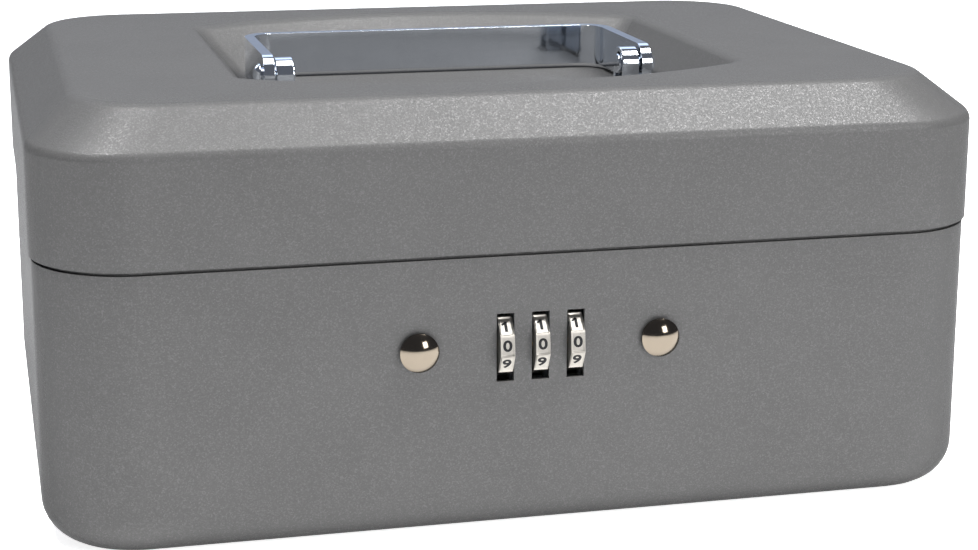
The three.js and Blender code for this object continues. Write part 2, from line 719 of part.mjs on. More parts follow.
// ---------------------------------------------------------------- handle

const handleGroup = new THREE.Group();
place(handleGroup, 'handle_bail', handleBail(), 'chrome');
for (const [name, side] of SIDES) {
  const rivet = handed(handleRivet(), side);
  place(handleGroup, `handle_rivet_${name}`, rivet, 'chrome', [0, HANDLE.pivotY, HANDLE.pivotZ]);
}
box.add(handleGroup);

// ---------------------------------------------------------------- lock

const lockGroup = new THREE.Group();
place(lockGroup, 'lock_frame', lockFrame(), 'zincSteel');
place(lockGroup, 'lock_cover', lockCover(), 'powderCoat');
place(lockGroup, 'dial_shaft', dialShaft(), 'zincSteel', [0, DIAL.axisY, DIAL.axisZ]);
place(lockGroup, 'dial_detent_spring', detentSpring(), 'springSteel');
for (const [name, step] of DIALS) {
  const dialAt = [step * DIAL.pitch, DIAL.axisY, DIAL.axisZ];
  place(lockGroup, `dial_${name}`, dial(), 'dialPlastic', dialAt);
  place(lockGroup, `dial_sleeve_${name}`, dialSleeve(), 'brass', dialAt);
}
place(lockGroup, 'locking_slide', lockingSlide(), 'zincSteel');
const slideRear = SLIDE.front + SLIDE.thick;
const frameFootRear = -BASE.halfY + SHEET + GAP + FRAME.thick;
for (const [name, side] of SIDES) {
  place(lockGroup, `knob_${name}`, knob(), 'nickel', [side * KNOB.x, -BASE.halfY, KNOB.z]);
  const knobNut = ringNut(3.2, KNOB.neck + GAP, 1.8, ROUND_STEPS);
  place(lockGroup, `knob_nut_${name}`, knobNut, 'zincSteel', [side * KNOB.x, slideRear + GAP + 0.9, KNOB.z]);
  const studNut = ringNut(3.2, 1.8, 2.2, 6);
  place(lockGroup, `lock_nut_${name}`, studNut, 'zincSteel', [side * FRAME.stud, frameFootRear + GAP + 1.1, KNOB.z]);
  place(lockGroup, `cover_screw_${name}`, coverScrew(), 'zincSteel', [side * COVER.screw, COVER.back + GAP, KNOB.z]);
}
box.add(lockGroup);

place(box, 'coin_tray', coinTray(), 'trayPlastic');

export default box;
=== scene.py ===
"""Cash box with a three-wheel combination lock: its finished surfaces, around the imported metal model.

Metres. +X runs to the right along the long side, -Y is the front with the lock, +Z is up.
"""

import json
import math

import bmesh
import bpy
from mathutils import Matrix, Vector


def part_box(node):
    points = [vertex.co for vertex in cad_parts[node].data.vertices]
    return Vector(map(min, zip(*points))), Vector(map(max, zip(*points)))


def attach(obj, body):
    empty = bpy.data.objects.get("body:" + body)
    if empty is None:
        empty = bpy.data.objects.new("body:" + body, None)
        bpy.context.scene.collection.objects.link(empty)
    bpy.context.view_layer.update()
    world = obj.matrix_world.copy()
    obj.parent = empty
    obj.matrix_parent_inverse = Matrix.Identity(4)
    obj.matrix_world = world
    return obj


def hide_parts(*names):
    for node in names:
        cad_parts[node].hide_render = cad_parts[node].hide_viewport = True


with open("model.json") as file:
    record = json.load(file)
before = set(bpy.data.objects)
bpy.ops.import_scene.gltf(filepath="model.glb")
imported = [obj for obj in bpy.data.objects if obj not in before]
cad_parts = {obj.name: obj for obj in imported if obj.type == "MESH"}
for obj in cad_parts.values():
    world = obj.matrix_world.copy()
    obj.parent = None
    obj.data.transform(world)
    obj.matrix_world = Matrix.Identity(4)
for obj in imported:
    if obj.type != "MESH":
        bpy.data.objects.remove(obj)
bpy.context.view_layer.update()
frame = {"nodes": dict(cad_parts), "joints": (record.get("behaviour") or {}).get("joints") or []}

bl_info = {
    "name": "Cash Box",
    "version": (1, 0, 0),
    "blender": (4, 5, 0),
    "location": "3D View > Sidebar > Cash Box",
    "description": "Builds the finished pieces of a steel cash box with a combination lock",
    "category": "Object",
}

MM = 0.001
LID_LOW, LID_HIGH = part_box("lid_shell")
BASE_LOW, BASE_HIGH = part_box("base_shell")
BAIL_LOW, BAIL_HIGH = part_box("handle_bail")
PIVOTS = {joint["name"]: Vector(joint.get("pos_m", (0, 0, 0))) for joint in frame["joints"]}
SIDES = {"left": -1, "right": 1}
WHEELS = {"left": -1, "centre": 0, "right": 1}

# Gaps, cuts and sizes that several pieces share.
CLEARANCE = 0.3 * MM
FRONT_CUT = (-81 * MM, -77.5 * MM)
REAR_CUT = (76.9 * MM, 82.9 * MM)
LID_NOTCH = 4.8 * MM
BASE_NOTCH_FOOT = 56.1 * MM
KNOB_NECK = 1.2 * MM
SLIDE_TRAVEL = 2.2 * MM
CLIP_RADIUS = 4 * MM
CLIP_THICK = 1.2 * MM

# The recess's bowed sides are cut from drums with this many flats.
BOW_SIDES = 80

# The wheels have one facet for each digit and rest turned a little up, towards the reader.
FACETS = 10
FACET_TURN = 2 * math.pi / FACETS
READING_TILT = math.radians(7)


# ---------------------------------------------------------------- sizes and colours


def length(name, default, description):
    """A size in metres that a user may change."""
    return bpy.props.FloatProperty(
        name=name, description=description, default=default, precision=5, unit="LENGTH"
    )


def colour(name, default, description):
    """A linear colour that a user may change."""
    return bpy.props.FloatVectorProperty(
        name=name, description=description, default=default, size=3, min=0, max=1, subtype="COLOR"
    )


class CashBoxSizes(bpy.types.PropertyGroup):
    """Sizes of the cash box's pieces."""

    sheet: length("Sheet", 0.8 * MM, "Thickness of the pressed steel")
    lid_corner: length("Lid corner", 20.8 * MM, "Plan radius of the lid's upright corners")
    chamfer_foot: length("Chamfer foot", 81.6 * MM, "Height at which the lid's chamfer starts")
    chamfer_in: length("Chamfer width", 9.8 * MM, "How far the chamfer runs in over the top")
    chamfer_soft: length("Chamfer softness", 1.3 * MM, "Setback of the chamfer's rounded edges")
    base_bottom: length("Base edge", 8.5 * MM, "Radius of the base's lower edge")
    shoulder: length("Shoulder", 58.3 * MM, "Height of the base's outer wall")
    recess_half: length("Recess half length", 56 * MM, "Half the recess's length at the top")
    recess_deep: length("Recess half depth", 57 * MM, "Half the recess's depth, front to rear, at the top")
    recess_bow: length("Recess bow", 17 * MM, "How far the recess's long sides bow outwards")
    recess_corner: length("Recess corner", 3.2 * MM, "Setback of the recess's rounded corners")
    recess_floor: length("Recess floor", 78.8 * MM, "Height of the recess's floor")
    recess_soft: length("Recess softness", 1.6 * MM, "Setback of the recess's rounded lip")
    strip: length("Handle strip", 2.4 * MM, "Thickness of the handle's strip")
    strip_bend: length("Handle bend", 7 * MM, "Outer radius of the handle's two bends")
    wheel_radius: length("Wheel radius", 7 * MM, "Radius of a number wheel over its ridges")
    facet_sink: length("Facet depth", 0.24 * MM, "How deep each digit's facet lies between its ridges")
    knob_radius: length("Knob radius", 4 * MM, "Radius of a thumb knob")


class CashBoxColours(bpy.types.PropertyGroup):
    """Colours of the cash box's finishes."""

    coat: colour("Powder coat", (0.081, 0.0805, 0.0802), "Grey metallic powder coat")
    chrome: colour("Chrome", (0.74, 0.78, 0.84), "Chrome plate of the handle")
    nickel: colour("Nickel", (0.17, 0.145, 0.115), "Nickel plate of the knobs")
    zinc: colour("Zinc", (0.44, 0.45, 0.46), "Zinc plate of the lock works and hinges")
    spring: colour("Spring steel", (0.24, 0.26, 0.3), "Tempered spring")
    brass: colour("Brass", (0.56, 0.38, 0.13), "Turned brass of the wheel sleeves")
    wheel: colour("Wheel", (0.29, 0.275, 0.25), "Silvered number wheels")
    ink: colour("Digits", (0.008, 0.008, 0.009), "Filled digits of the number wheels")
    tray: colour("Tray", (0.02, 0.021, 0.023), "Black moulding of the coin tray")


def sizes():
    """The sizes in use."""
    return bpy.context.scene.cash_box_sizes


def colours():
    """The colours in use."""
    return bpy.context.scene.cash_box_colours


# ---------------------------------------------------------------- surface finishes


class Value:
    """A number that varies over a surface; arithmetic on it adds Math nodes."""

    def __init__(self, finish, socket):
        self.finish = finish
        self.socket = socket

    def __add__(self, other):
        return self.finish.math("ADD", self, other)

    def __radd__(self, other):
        return self.finish.math("ADD", other, self)

    def __sub__(self, other):
        return self.finish.math("SUBTRACT", self, other)

    def __rsub__(self, other):
        return self.finish.math("SUBTRACT", other, self)

    def __mul__(self, other):
        return self.finish.math("MULTIPLY", self, other)

    def __rmul__(self, other):
        return self.finish.math("MULTIPLY", other, self)


class Finish:
    """One material, with the nodes that vary it over a surface."""

    def __init__(self, name, **constants):
        self.material = bpy.data.materials.new(f"{name}_finish")
        self.material.use_nodes = True
        self.nodes = self.material.node_tree.nodes
        self.links = self.material.node_tree.links
        self.shader = next(node for node in self.nodes if node.type == "BSDF_PRINCIPLED")
        for socket, value in constants.items():
            self.shader.inputs[socket.replace("_", " ")].default_value = value
        self.place = self.add("ShaderNodeTexCoord", output="Object")

    def add(self, kind, settings=None, sockets=None, output=0):
        """Adds one node of any type and returns the output asked for."""
        node = self.nodes.new(kind)
        for key, value in (settings or {}).items():
            if key == "stops":
                self.set_stops(node.color_ramp, value)
            else:
                setattr(node, key, value)
        for key, value in (sockets or {}).items():
            self.feed(node.inputs[key], value)
        return Value(self, node.outputs[output])

    @staticmethod
    def set_stops(ramp, stops):
        """Gives a colour ramp its stops, each a position and a grey level."""
        while len(ramp.elements) < len(stops):
            ramp.elements.new(0.5)
        for element, (position, level) in zip(ramp.elements, stops):
            element.position = position
            element.color = (level, level, level, 1)

    def feed(self, socket, value):
        """Links a varying value to a socket, or sets a constant on it."""
        if isinstance(value, Value):
            self.links.new(value.socket, socket)
        else:
            socket.default_value = value

    def math(self, operation, first, second=0.0):
        """One Math node."""
        return self.add("ShaderNodeMath", {"operation": operation}, {0: first, 1: second})

    def noise(self, size, detail=2.0, stretch=(1, 1, 1)):
        """Smooth noise from 0 to 1 whose lumps measure about `size` metres, longer where stretched."""
        where = self.place
        if tuple(stretch) != (1, 1, 1):
            scale = tuple(1 / factor for factor in stretch)
            where = self.add("ShaderNodeMapping", None, {"Vector": where, "Scale": scale})
        return self.add(
            "ShaderNodeTexNoise", None, {"Vector": where, "Scale": 1 / size, "Detail": detail}
        )

    def flakes(self, size):
        """One random level from 0 to 1 for each flake of about `size` metres."""
        cells = self.add(
            "ShaderNodeTexVoronoi", None, {"Vector": self.place, "Scale": 1 / size}, output="Color"
        )
        return self.add("ShaderNodeSeparateColor", None, {"Color": cells})

    def ramp(self, level, *stops):
        """A level passed through a ramp of (position, grey level) stops."""
        return self.add("ShaderNodeValToRGB", {"stops": stops}, {"Fac": level})

    def blend(self, level, low, high):
        """A colour between two colours."""
        settings = {"data_type": "RGBA"}
        sockets = {0: level, 6: (*low, 1), 7: (*high, 1)}
        return self.add("ShaderNodeMix", settings, sockets, output=2)

    def bump(self, height, depth, strength=1.0):
        """A bumped normal from a height of 0 to 1 that stands for `depth` metres."""
        return self.add(
            "ShaderNodeBump", None, {"Height": height, "Distance": depth, "Strength": strength}
        )

    def done(self, **varying):
        """Links what varies to the shader and returns the material."""
        for socket, value in varying.items():
            self.feed(self.shader.inputs[socket.replace("_", " ")], value)
        return self.material


def shade(tint, factor):
    """A colour made lighter or darker."""
    return tuple(min(1.0, channel * factor) for channel in tint)


def powder_coat():
    """Grey powder coat: fine aluminium flakes in a slightly pebbled satin film."""
    tint = colours().coat
    finish = Finish("powder_coat", Specular_IOR_Level=0.02, Specular_Tint=(0.15, 0.15, 0.15, 1))
    flake = finish.flakes(0.24 * MM)
    glint = finish.ramp(flake, (0.0, 0.0), (0.5, 0.15), (0.85, 0.5), (1.0, 1.0))
    cloud = finish.noise(14 * MM, 3)
    pebble = finish.noise(0.5 * MM, 2)
    return finish.done(
        Base_Color=finish.blend(glint * 0.7 + cloud * 0.3, shade(tint, 0.9), shade(tint, 1.32)),
        Metallic=0.26 + glint * 0.25,
        Roughness=0.5 - glint * 0.12,
        Normal=finish.bump(flake * 0.4 + pebble * 0.6, 0.08 * MM, 0.8),
    )


def plated(name, tint, roughness, grain, stretch=(1, 1, 1), depth=0.002 * MM):
    """Polished or brushed plating with faint marks along its grain."""
    finish = Finish(name, Metallic=1.0)
    marks = finish.noise(grain, 3, stretch)
    smear = finish.noise(4 * MM, 2)
    return finish.done(
        Base_Color=finish.blend(smear, shade(tint, 0.92), shade(tint, 1.06)),
        Roughness=roughness + smear * roughness * 0.5 + marks * roughness * 0.4,
        Normal=finish.bump(marks, depth, 0.5),
    )


def zinc_plate():
    """Zinc-plated sheet: spangled, satin and slightly mottled."""
    tint = colours().zinc
    finish = Finish("zinc_plate", Metallic=1.0)
    spangle = finish.flakes(1.6 * MM)
    grain = finish.noise(0.25 * MM, 3, (6, 1, 1))
    level = spangle * 0.35 + grain * 0.5
    return finish.done(
        Base_Color=finish.blend(level, shade(tint, 0.8), shade(tint, 1.25)),
        Roughness=0.3 + spangle * 0.08 + grain * 0.1,
        Normal=finish.bump(grain, 0.004 * MM, 0.6),
    )


def wheel_silver():
    """Silvered number wheel with uneven grime and fine marks."""
    tint = colours().wheel
    finish = Finish("wheel_silver", Metallic=0.85)
    grime = finish.noise(0.9 * MM, 3)
    grain = finish.noise(0.12 * MM, 2, (1, 5, 5))
    return finish.done(
        Base_Color=finish.blend(grime, shade(tint, 0.78), shade(tint, 1.12)),
        Roughness=0.24 + grime * 0.12,
        Normal=finish.bump(grain, 0.003 * MM, 0.6),
    )


def digit_ink():
    """Matt black filling of the digits."""
    tint = colours().ink
    finish = Finish("digit_ink", Specular_IOR_Level=0.15)
    speck = finish.noise(0.15 * MM, 2)
    return finish.done(
        Base_Color=finish.blend(speck, shade(tint, 0.6), shade(tint, 1.8)),
        Roughness=0.45 + speck * 0.2,
    )


def tray_black():
    """Black moulding with a fine spark-eroded grain and light scuffs."""
    tint = colours().tray
    finish = Finish("tray_black", Specular_IOR_Level=0.45)
    grain = finish.noise(0.5 * MM, 2)
    scuff = finish.ramp(finish.noise(14 * MM, 6, (3, 1, 1)), (0.55, 0.0), (0.72, 1.0))
    return finish.done(
        Base_Color=finish.blend(scuff * 0.35 + grain * 0.3, shade(tint, 0.8), shade(tint, 2.2)),
        Roughness=0.5 + grain * 0.14 - scuff * 0.08,
        Normal=finish.bump(grain, 0.05 * MM, 0.7),
    )


MAKERS = {
    "powder_coat": powder_coat,
    "chrome": lambda: plated("chrome", colours().chrome, 0.05, 0.6 * MM),
    "nickel": lambda: plated("nickel", colours().nickel, 0.08, 0.4 * MM),
    "zinc_steel": zinc_plate,
    "spring_steel": lambda: plated("spring_steel", colours().spring, 0.24, 0.2 * MM, (8, 1, 1)),
    "brass": lambda: plated("brass", colours().brass, 0.2, 0.15 * MM, (1, 6, 6)),
    "dial_plastic": wheel_silver,
    "tray_plastic": tray_black,
    "digit_ink": digit_ink,
}


MADE = {}


def material(slot):
    """The material of a slot, made once."""
    if slot not in MADE:
        MADE[slot] = MAKERS[slot]()
    return MADE[slot]


# ---------------------------------------------------------------- modelling steps


def select_only(piece=None):
    """Leaves edit mode and selects one piece, or nothing."""
    if bpy.context.mode != "OBJECT":
        bpy.ops.object.mode_set(mode="OBJECT")
    bpy.ops.object.select_all(action="DESELECT")
    if piece is not None:
        piece.select_set(True)
        bpy.context.view_layer.objects.active = piece
    return piece


def settle(name):
    """Names the new active piece and moves its place into its mesh."""
    piece = select_only(bpy.context.object)
    bpy.ops.object.transform_apply(location=True, rotation=True, scale=True)
    piece.name = piece.data.name = name
    return piece


def block(name, low, high):
    """A block between two corners."""
    low, high = Vector(low), Vector(high)
    select_only()
    bpy.ops.mesh.primitive_cube_add(size=1, location=(low + high) / 2, scale=high - low)
    return settle(name)


def bar(name, start, end, radius, sides=48):
    """A round bar from one point to another."""
    start, end = Vector(start), Vector(end)
    axis = end - start
    select_only()
    bpy.ops.mesh.primitive_cylinder_add(
        vertices=sides, radius=radius, depth=axis.length, location=(start + end) / 2,
        rotation=axis.to_track_quat("Z", "Y").to_euler(),
    )
    return settle(name)


class Editing:
    """Edit mode on one piece. Its parts are picked by their place or direction."""

    def __init__(self, piece):
        self.piece = piece

    def __enter__(self):
        select_only(self.piece)
        bpy.ops.object.mode_set(mode="EDIT")
        bpy.ops.mesh.select_all(action="DESELECT")
        return self

    def __exit__(self, *unused):
        bpy.ops.object.mode_set(mode="OBJECT")

    def pick(self, kind, test):
        """Selects the vertices, edges or faces that pass a test; at least one has to."""
        bpy.ops.mesh.select_mode(type=kind)
        bpy.ops.mesh.select_all(action="DESELECT")
        mesh = bmesh.from_edit_mesh(self.piece.data)
        parts = {"VERT": mesh.verts, "EDGE": mesh.edges, "FACE": mesh.faces}[kind]
        chosen = [part for part in parts if test(part)]
        for part in chosen:
            part.select_set(True)
        mesh.select_flush_mode()
        bmesh.update_edit_mesh(self.piece.data)
        if not chosen:
            raise RuntimeError(f"nothing to pick on {self.piece.name}")

    def pick_level_edges(self, z, inside=lambda co: True):
        """Selects the edges that lie flat at height z, within an area."""
        self.pick("EDGE", lambda edge: all(near(v.co.z, z) and inside(v.co) for v in edge.verts))

    @staticmethod
    def bevel(offset, segments):
        """Rounds what is selected."""
        bpy.ops.mesh.bevel(offset=offset, segments=segments, affect="EDGES", clamp_overlap=False)

    @staticmethod
    def extrude(move=(0, 0, 0)):
        """Extrudes what is selected along a vector."""
        bpy.ops.mesh.extrude_region_move(TRANSFORM_OT_translate={"value": move})

    @staticmethod
    def resize(factors, centre):
        """Scales what is selected about a point."""
        bpy.ops.transform.resize(value=factors, center_override=tuple(centre))


def near(first, second, slack=0.02 * MM):
    """Whether two lengths agree."""
    return abs(first - second) < slack


def upright(edge):
    """Whether an edge runs straight up."""
    first, second = (vertex.co for vertex in edge.verts)
    return near(first.x, second.x) and near(first.y, second.y) and not near(first.z, second.z)


def flat_top(face):
    """Whether a face looks straight up."""
    return face.normal.z > 0.999


def flat_bottom(face):
    """Whether a face looks straight down."""
    return face.normal.z < -0.999


def apply(piece, kind, **settings):
    """Adds one modifier and applies it."""
    select_only(piece)
    modifier = piece.modifiers.new(kind.lower(), kind)
    for key, value in settings.items():
        setattr(modifier, key, value)
    bpy.ops.object.modifier_apply(modifier=modifier.name)
    return piece


def combine(piece, tool, operation="DIFFERENCE"):
    """Cuts, joins or meets a piece with a tool, which is used up."""
    apply(piece, "BOOLEAN", object=tool, operation=operation, solver="EXACT")
    bpy.data.objects.remove(tool)
    return piece


def cut_blocks(piece, *corners):
    """Cuts blocks out of a piece."""
    for low, high in corners:
        combine(piece, block("cutter", low, high))
    return piece


def thicken(piece, thickness):
    """Gives an open skin its wall on the inside."""
    return apply(piece, "SOLIDIFY", thickness=thickness, offset=-1, use_even_offset=True)


def ease(piece, radius, segments=2, angle=30):
    """Rounds the sharp edges of a piece."""
    return apply(
        piece, "BEVEL", width=radius, segments=segments, limit_method="ANGLE",
        angle_limit=math.radians(angle), use_clamp_overlap=True, harden_normals=False,
    )


def tidy(piece):
    """Merges doubled vertices and turns the faces outwards."""
    with Editing(piece):
        bpy.ops.mesh.select_all(action="SELECT")
        bpy.ops.mesh.remove_doubles(threshold=0.002 * MM)
        bpy.ops.mesh.normals_make_consistent(inside=False)
    return piece


def smooth(piece, angle=35):
    """Shades the rounded parts smooth and keeps the sharp edges."""
    select_only(piece)
    bpy.ops.object.shade_smooth_by_angle(angle=math.radians(angle))
    apply(piece, "WEIGHTED_NORMAL", keep_sharp=True, weight=60)
    return piece


def finish_piece(piece, body, slot, *nodes, surface=None):
    """Gives a piece the material of its slot, ties it to its body and hides the metal parts that it stands
    for.
    """
    piece.data.materials.clear()
    piece.data.materials.append(material(surface or slot))
    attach(piece, body)
    if nodes:
        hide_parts(*nodes)
    return piece


def dressed_copy(node, body, slot, radius, segments=2, angle=30):
    """A copy of a metal part with merged faces, eased edges and a smooth finish."""
    source = frame["nodes"][node]
    select_only(source)
    bpy.ops.object.duplicate()
    piece = bpy.context.object
    piece.parent = None
    piece.name = piece.data.name = f"{node}_finished"
    for key in list(piece.keys()):
        del piece[key]
    with Editing(piece):
        bpy.ops.mesh.select_all(action="SELECT")
        bpy.ops.mesh.remove_doubles(threshold=0.001 * MM)
        bpy.ops.mesh.dissolve_limited(angle_limit=math.radians(1))
    ease(piece, radius, segments, angle)
    smooth(piece)
    return finish_piece(piece, body, slot, node)


class PieceOperator:
    """What the operators share: they can be undone and they end with nothing selected."""

    bl_options = {"REGISTER", "UNDO"}

    def execute(self, context):
        self.build()
        select_only()
        return {"FINISHED"}


# ---------------------------------------------------------------- lid


def well_punch(floor, top, spare):
    """The solid shape of the handle recess: two bowed long sides, straight ends and sloping walls."""
    size = sizes()
    half, deep, bow = size.recess_half, size.recess_deep, size.recess_bow
    bow_radius = (half * half + bow * bow) / (2 * bow)
    offset = bow_radius - deep
    punch = bar("well", (0, -offset, floor), (0, -offset, top), bow_radius, BOW_SIDES)
    rear_bow = bar("rear_bow", (0, offset, floor - spare), (0, offset, top + spare), bow_radius, BOW_SIDES)
    combine(punch, rear_bow, "INTERSECT")
    ends = block("ends", (-half, -2 * deep, floor - spare), (half, 2 * deep, top + spare))
    combine(punch, ends, "INTERSECT")
    slope_x, slope_y = 9.6 * MM, 12 * MM
    with Editing(punch) as edit:
        corner_y = deep - bow
        edit.pick("EDGE", lambda e: upright(e) and near(abs(e.verts[0].co.x), half)
                  and near(abs(e.verts[0].co.y), corner_y, 0.5 * MM))
        edit.bevel(size.recess_corner, 10)
        edit.pick("VERT", lambda v: near(v.co.z, floor))
        edit.resize((1 - slope_x / half, 1 - slope_y / deep, 1), (0, 0, floor))
        edit.pick("FACE", flat_top)
        edit.extrude((0, 0, spare))
    return tidy(punch)


class CASHBOX_OT_lid(PieceOperator, bpy.types.Operator):
    """Press the chamfered lid with its handle recess"""

    bl_idname = "cashbox.lid"
    bl_label = "Lid"

    def build(self):
        size = sizes()
        rim, top, foot = LID_LOW.z, LID_HIGH.z, size.chamfer_foot
        half_x, half_y = LID_HIGH.x, LID_HIGH.y
        lid = block("lid_shell_finished", (-half_x, -half_y, rim), (half_x, half_y, foot))
        with Editing(lid) as edit:
            edit.pick("EDGE", upright)
            edit.bevel(size.lid_corner, 20)
            edit.pick("FACE", flat_top)
            edit.extrude((0, 0, top - foot))
            edit.resize((1 - size.chamfer_in / half_x, 1 - size.chamfer_in / half_y, 1), (0, 0, top))
            edit.pick_level_edges(foot)
            edit.bevel(size.chamfer_soft, 6)
            edit.pick_level_edges(top)
            edit.bevel(size.chamfer_soft, 6)
        combine(lid, well_punch(size.recess_floor, top, 2 * MM))
        well_x, well_y = size.recess_half + MM, size.recess_deep + MM
        with Editing(lid) as edit:
            edit.pick_level_edges(top, lambda co: abs(co.x) < well_x and abs(co.y) < well_y)
            edit.bevel(size.recess_soft, 6)
            edit.pick_level_edges(size.recess_floor)
            edit.bevel(size.recess_soft, 5)
            edit.pick("FACE", lambda f: flat_bottom(f) and near(f.calc_center_median().z, rim))
            bpy.ops.mesh.delete(type="FACE")
        thicken(lid, size.sheet)
        cut_blocks(lid, *hinge_notches(rim - MM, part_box("hinge_lid_leaf_left")[0].z + LID_NOTCH))
        cut_blocks(lid, *clip_slots())
        smooth(lid, 30)
        finish_piece(lid, "lid", "powder_coat", "lid_shell")


def hinge_notches(low, high):
    """The two places at the rear where the hinge barrels pass the walls."""
    corners = []
    spare = 1.5 * MM
    near_y, far_y = REAR_CUT
    for name in SIDES:
        leaf_low, leaf_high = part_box(f"hinge_base_leaf_{name}")
        corners.append(((leaf_low.x - spare, near_y, low), (leaf_high.x + spare, far_y, high)))
    return corners


def clip_slots():
    """The four slots in the recess floor for the handle clips' legs."""
    corners = []
    slack = 0.4 * MM
    bottom, top = sizes().recess_floor - 2 * MM, sizes().recess_floor + MM
    middle = PIVOTS["handle_swing"].y
    for name in SIDES:
        low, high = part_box(f"handle_clip_{name}")
        for side in SIDES.values():
            edges = middle + side * (CLIP_RADIUS - CLIP_THICK), middle + side * CLIP_RADIUS
            corners.append((
                (low.x - slack, min(edges) - slack, bottom), (high.x + slack, max(edges) + slack, top),
            ))
    return corners


# ---------------------------------------------------------------- base


class CASHBOX_OT_base(PieceOperator, bpy.types.Operator):
    """Press the base with its stepped neck, rounded lower edge and lock openings"""

    bl_idname = "cashbox.base"
    bl_label = "Base"

    def build(self):
        size = sizes()
        half_x, half_y = BASE_HIGH.x, abs(BASE_LOW.y)
        shoulder, neck = size.shoulder, BASE_HIGH.z
        corner = size.lid_corner - (LID_HIGH.x - half_x)
        base = block("base_shell_finished", (-half_x, -half_y, 0), (half_x, half_y, shoulder))
        with Editing(base) as edit:
            edit.pick("EDGE", upright)
            edit.bevel(corner, 20)
            edit.pick_level_edges(0)
            edit.bevel(size.base_bottom, 10)
            edit.pick("FACE", flat_top)
            bpy.ops.mesh.inset(thickness=size.sheet, depth=0)
            edit.extrude((0, 0, neck - shoulder))
            edit.pick("FACE", lambda f: flat_top(f) and near(f.calc_center_median().z, neck))
            bpy.ops.mesh.delete(type="FACE")
        thicken(base, size.sheet)
        cut_blocks(base, *self.dial_slots(), *hinge_notches(BASE_NOTCH_FOOT, neck + MM))
        for side in SIDES.values():
            combine(base, self.knob_slot(side))
        smooth(base, 30)
        finish_piece(base, "base", "powder_coat", "base_shell")

    @staticmethod
    def dial_slots():
        """Three upright slots for the number wheels."""
        pivot = PIVOTS["dial_centre_spin"]
        pitch = PIVOTS["dial_right_spin"].x
        half_width, half_height = 1.825 * MM, 7.1 * MM
        outside, inside = FRONT_CUT
        return [
            (
                (side * pitch - half_width, outside, pivot.z - half_height),
                (side * pitch + half_width, inside, pivot.z + half_height),
            )
            for side in WHEELS.values()
        ]

    @staticmethod
    def knob_slot(side):
        """A short slot for a knob's neck: two round ends and the straight run between them."""
        low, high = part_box(f"knob_{'left' if side < 0 else 'right'}")
        middle = (low + high) / 2
        half = KNOB_NECK + CLEARANCE
        outside, inside = FRONT_CUT
        slot, end = (
            bar(part, (x, outside, middle.z), (x, inside, middle.z), half)
            for part, x in (("slot", middle.x), ("end", middle.x + SLIDE_TRAVEL))
        )
        step, flat = 0.1 * MM, half * 0.999
        run = block(
            "run", (middle.x, outside + step, middle.z - flat),
            (middle.x + SLIDE_TRAVEL, inside - step, middle.z + flat),
        )
        combine(slot, run, "UNION")
        return combine(slot, end, "UNION")


# ---------------------------------------------------------------- handle


class CASHBOX_OT_handle(PieceOperator, bpy.types.Operator):
    """Bend the flat chrome strip of the folding handle"""

    bl_idname = "cashbox.handle"
    bl_label = "Handle"

    def build(self):
        size = sizes()
        pivot = PIVOTS["handle_swing"]
        half, far = BAIL_HIGH.x, BAIL_HIGH.y
        radius, strip = size.strip_bend, size.strip
        low, high = BAIL_LOW.z, BAIL_HIGH.z
        straight = half - radius
        bail = block("handle_bail_finished", (-straight, far - strip, low), (straight, far, high))
        with Editing(bail) as edit:
            for side in SIDES.values():
                edit.pick("FACE", lambda f: near(f.calc_center_median().x, side * straight))
                centre = (side * straight, far - radius, 0)
                bpy.ops.mesh.spin(steps=14, angle=side * math.pi / 2, center=centre, axis=(0, 0, 1))
            for side in SIDES.values():
                edit.pick("FACE", lambda f: near(f.calc_center_median().y, far - radius)
                          and f.calc_center_median().x * side > straight)
                edit.extrude((0, pivot.y - (far - radius), 0))
                self.round_end(edit, pivot, (high - low) / 2)
        tidy(bail)
        for side in SIDES.values():
            centre = Vector((0, pivot.y, pivot.z))
            inner = centre + Vector((side * (half - 2 * strip), 0, 0))
            outer = centre + Vector((side * (half + strip), 0, 0))
            combine(bail, bar("rivet_hole", inner, outer, 2.1 * MM))
        ease(bail, 0.35 * MM, 3, 40)
        smooth(bail, 40)
        finish_piece(bail, "handle", "chrome", "handle_bail")

    @staticmethod
    def round_end(edit, pivot, radius):
        """Rounds the end of an arm about the pivot, in short steps."""
        steps = 12
        height = 1.0
        travelled = 0.0
        for step in range(1, steps + 1):
            angle = math.pi / 2 * step / steps * 0.985
            advance = radius * math.sin(angle)
            edit.extrude((0, travelled - advance, 0))
            travelled = advance
            edit.resize((1, 1, math.cos(angle) / height), (0, pivot.y, pivot.z))
            height = math.cos(angle)


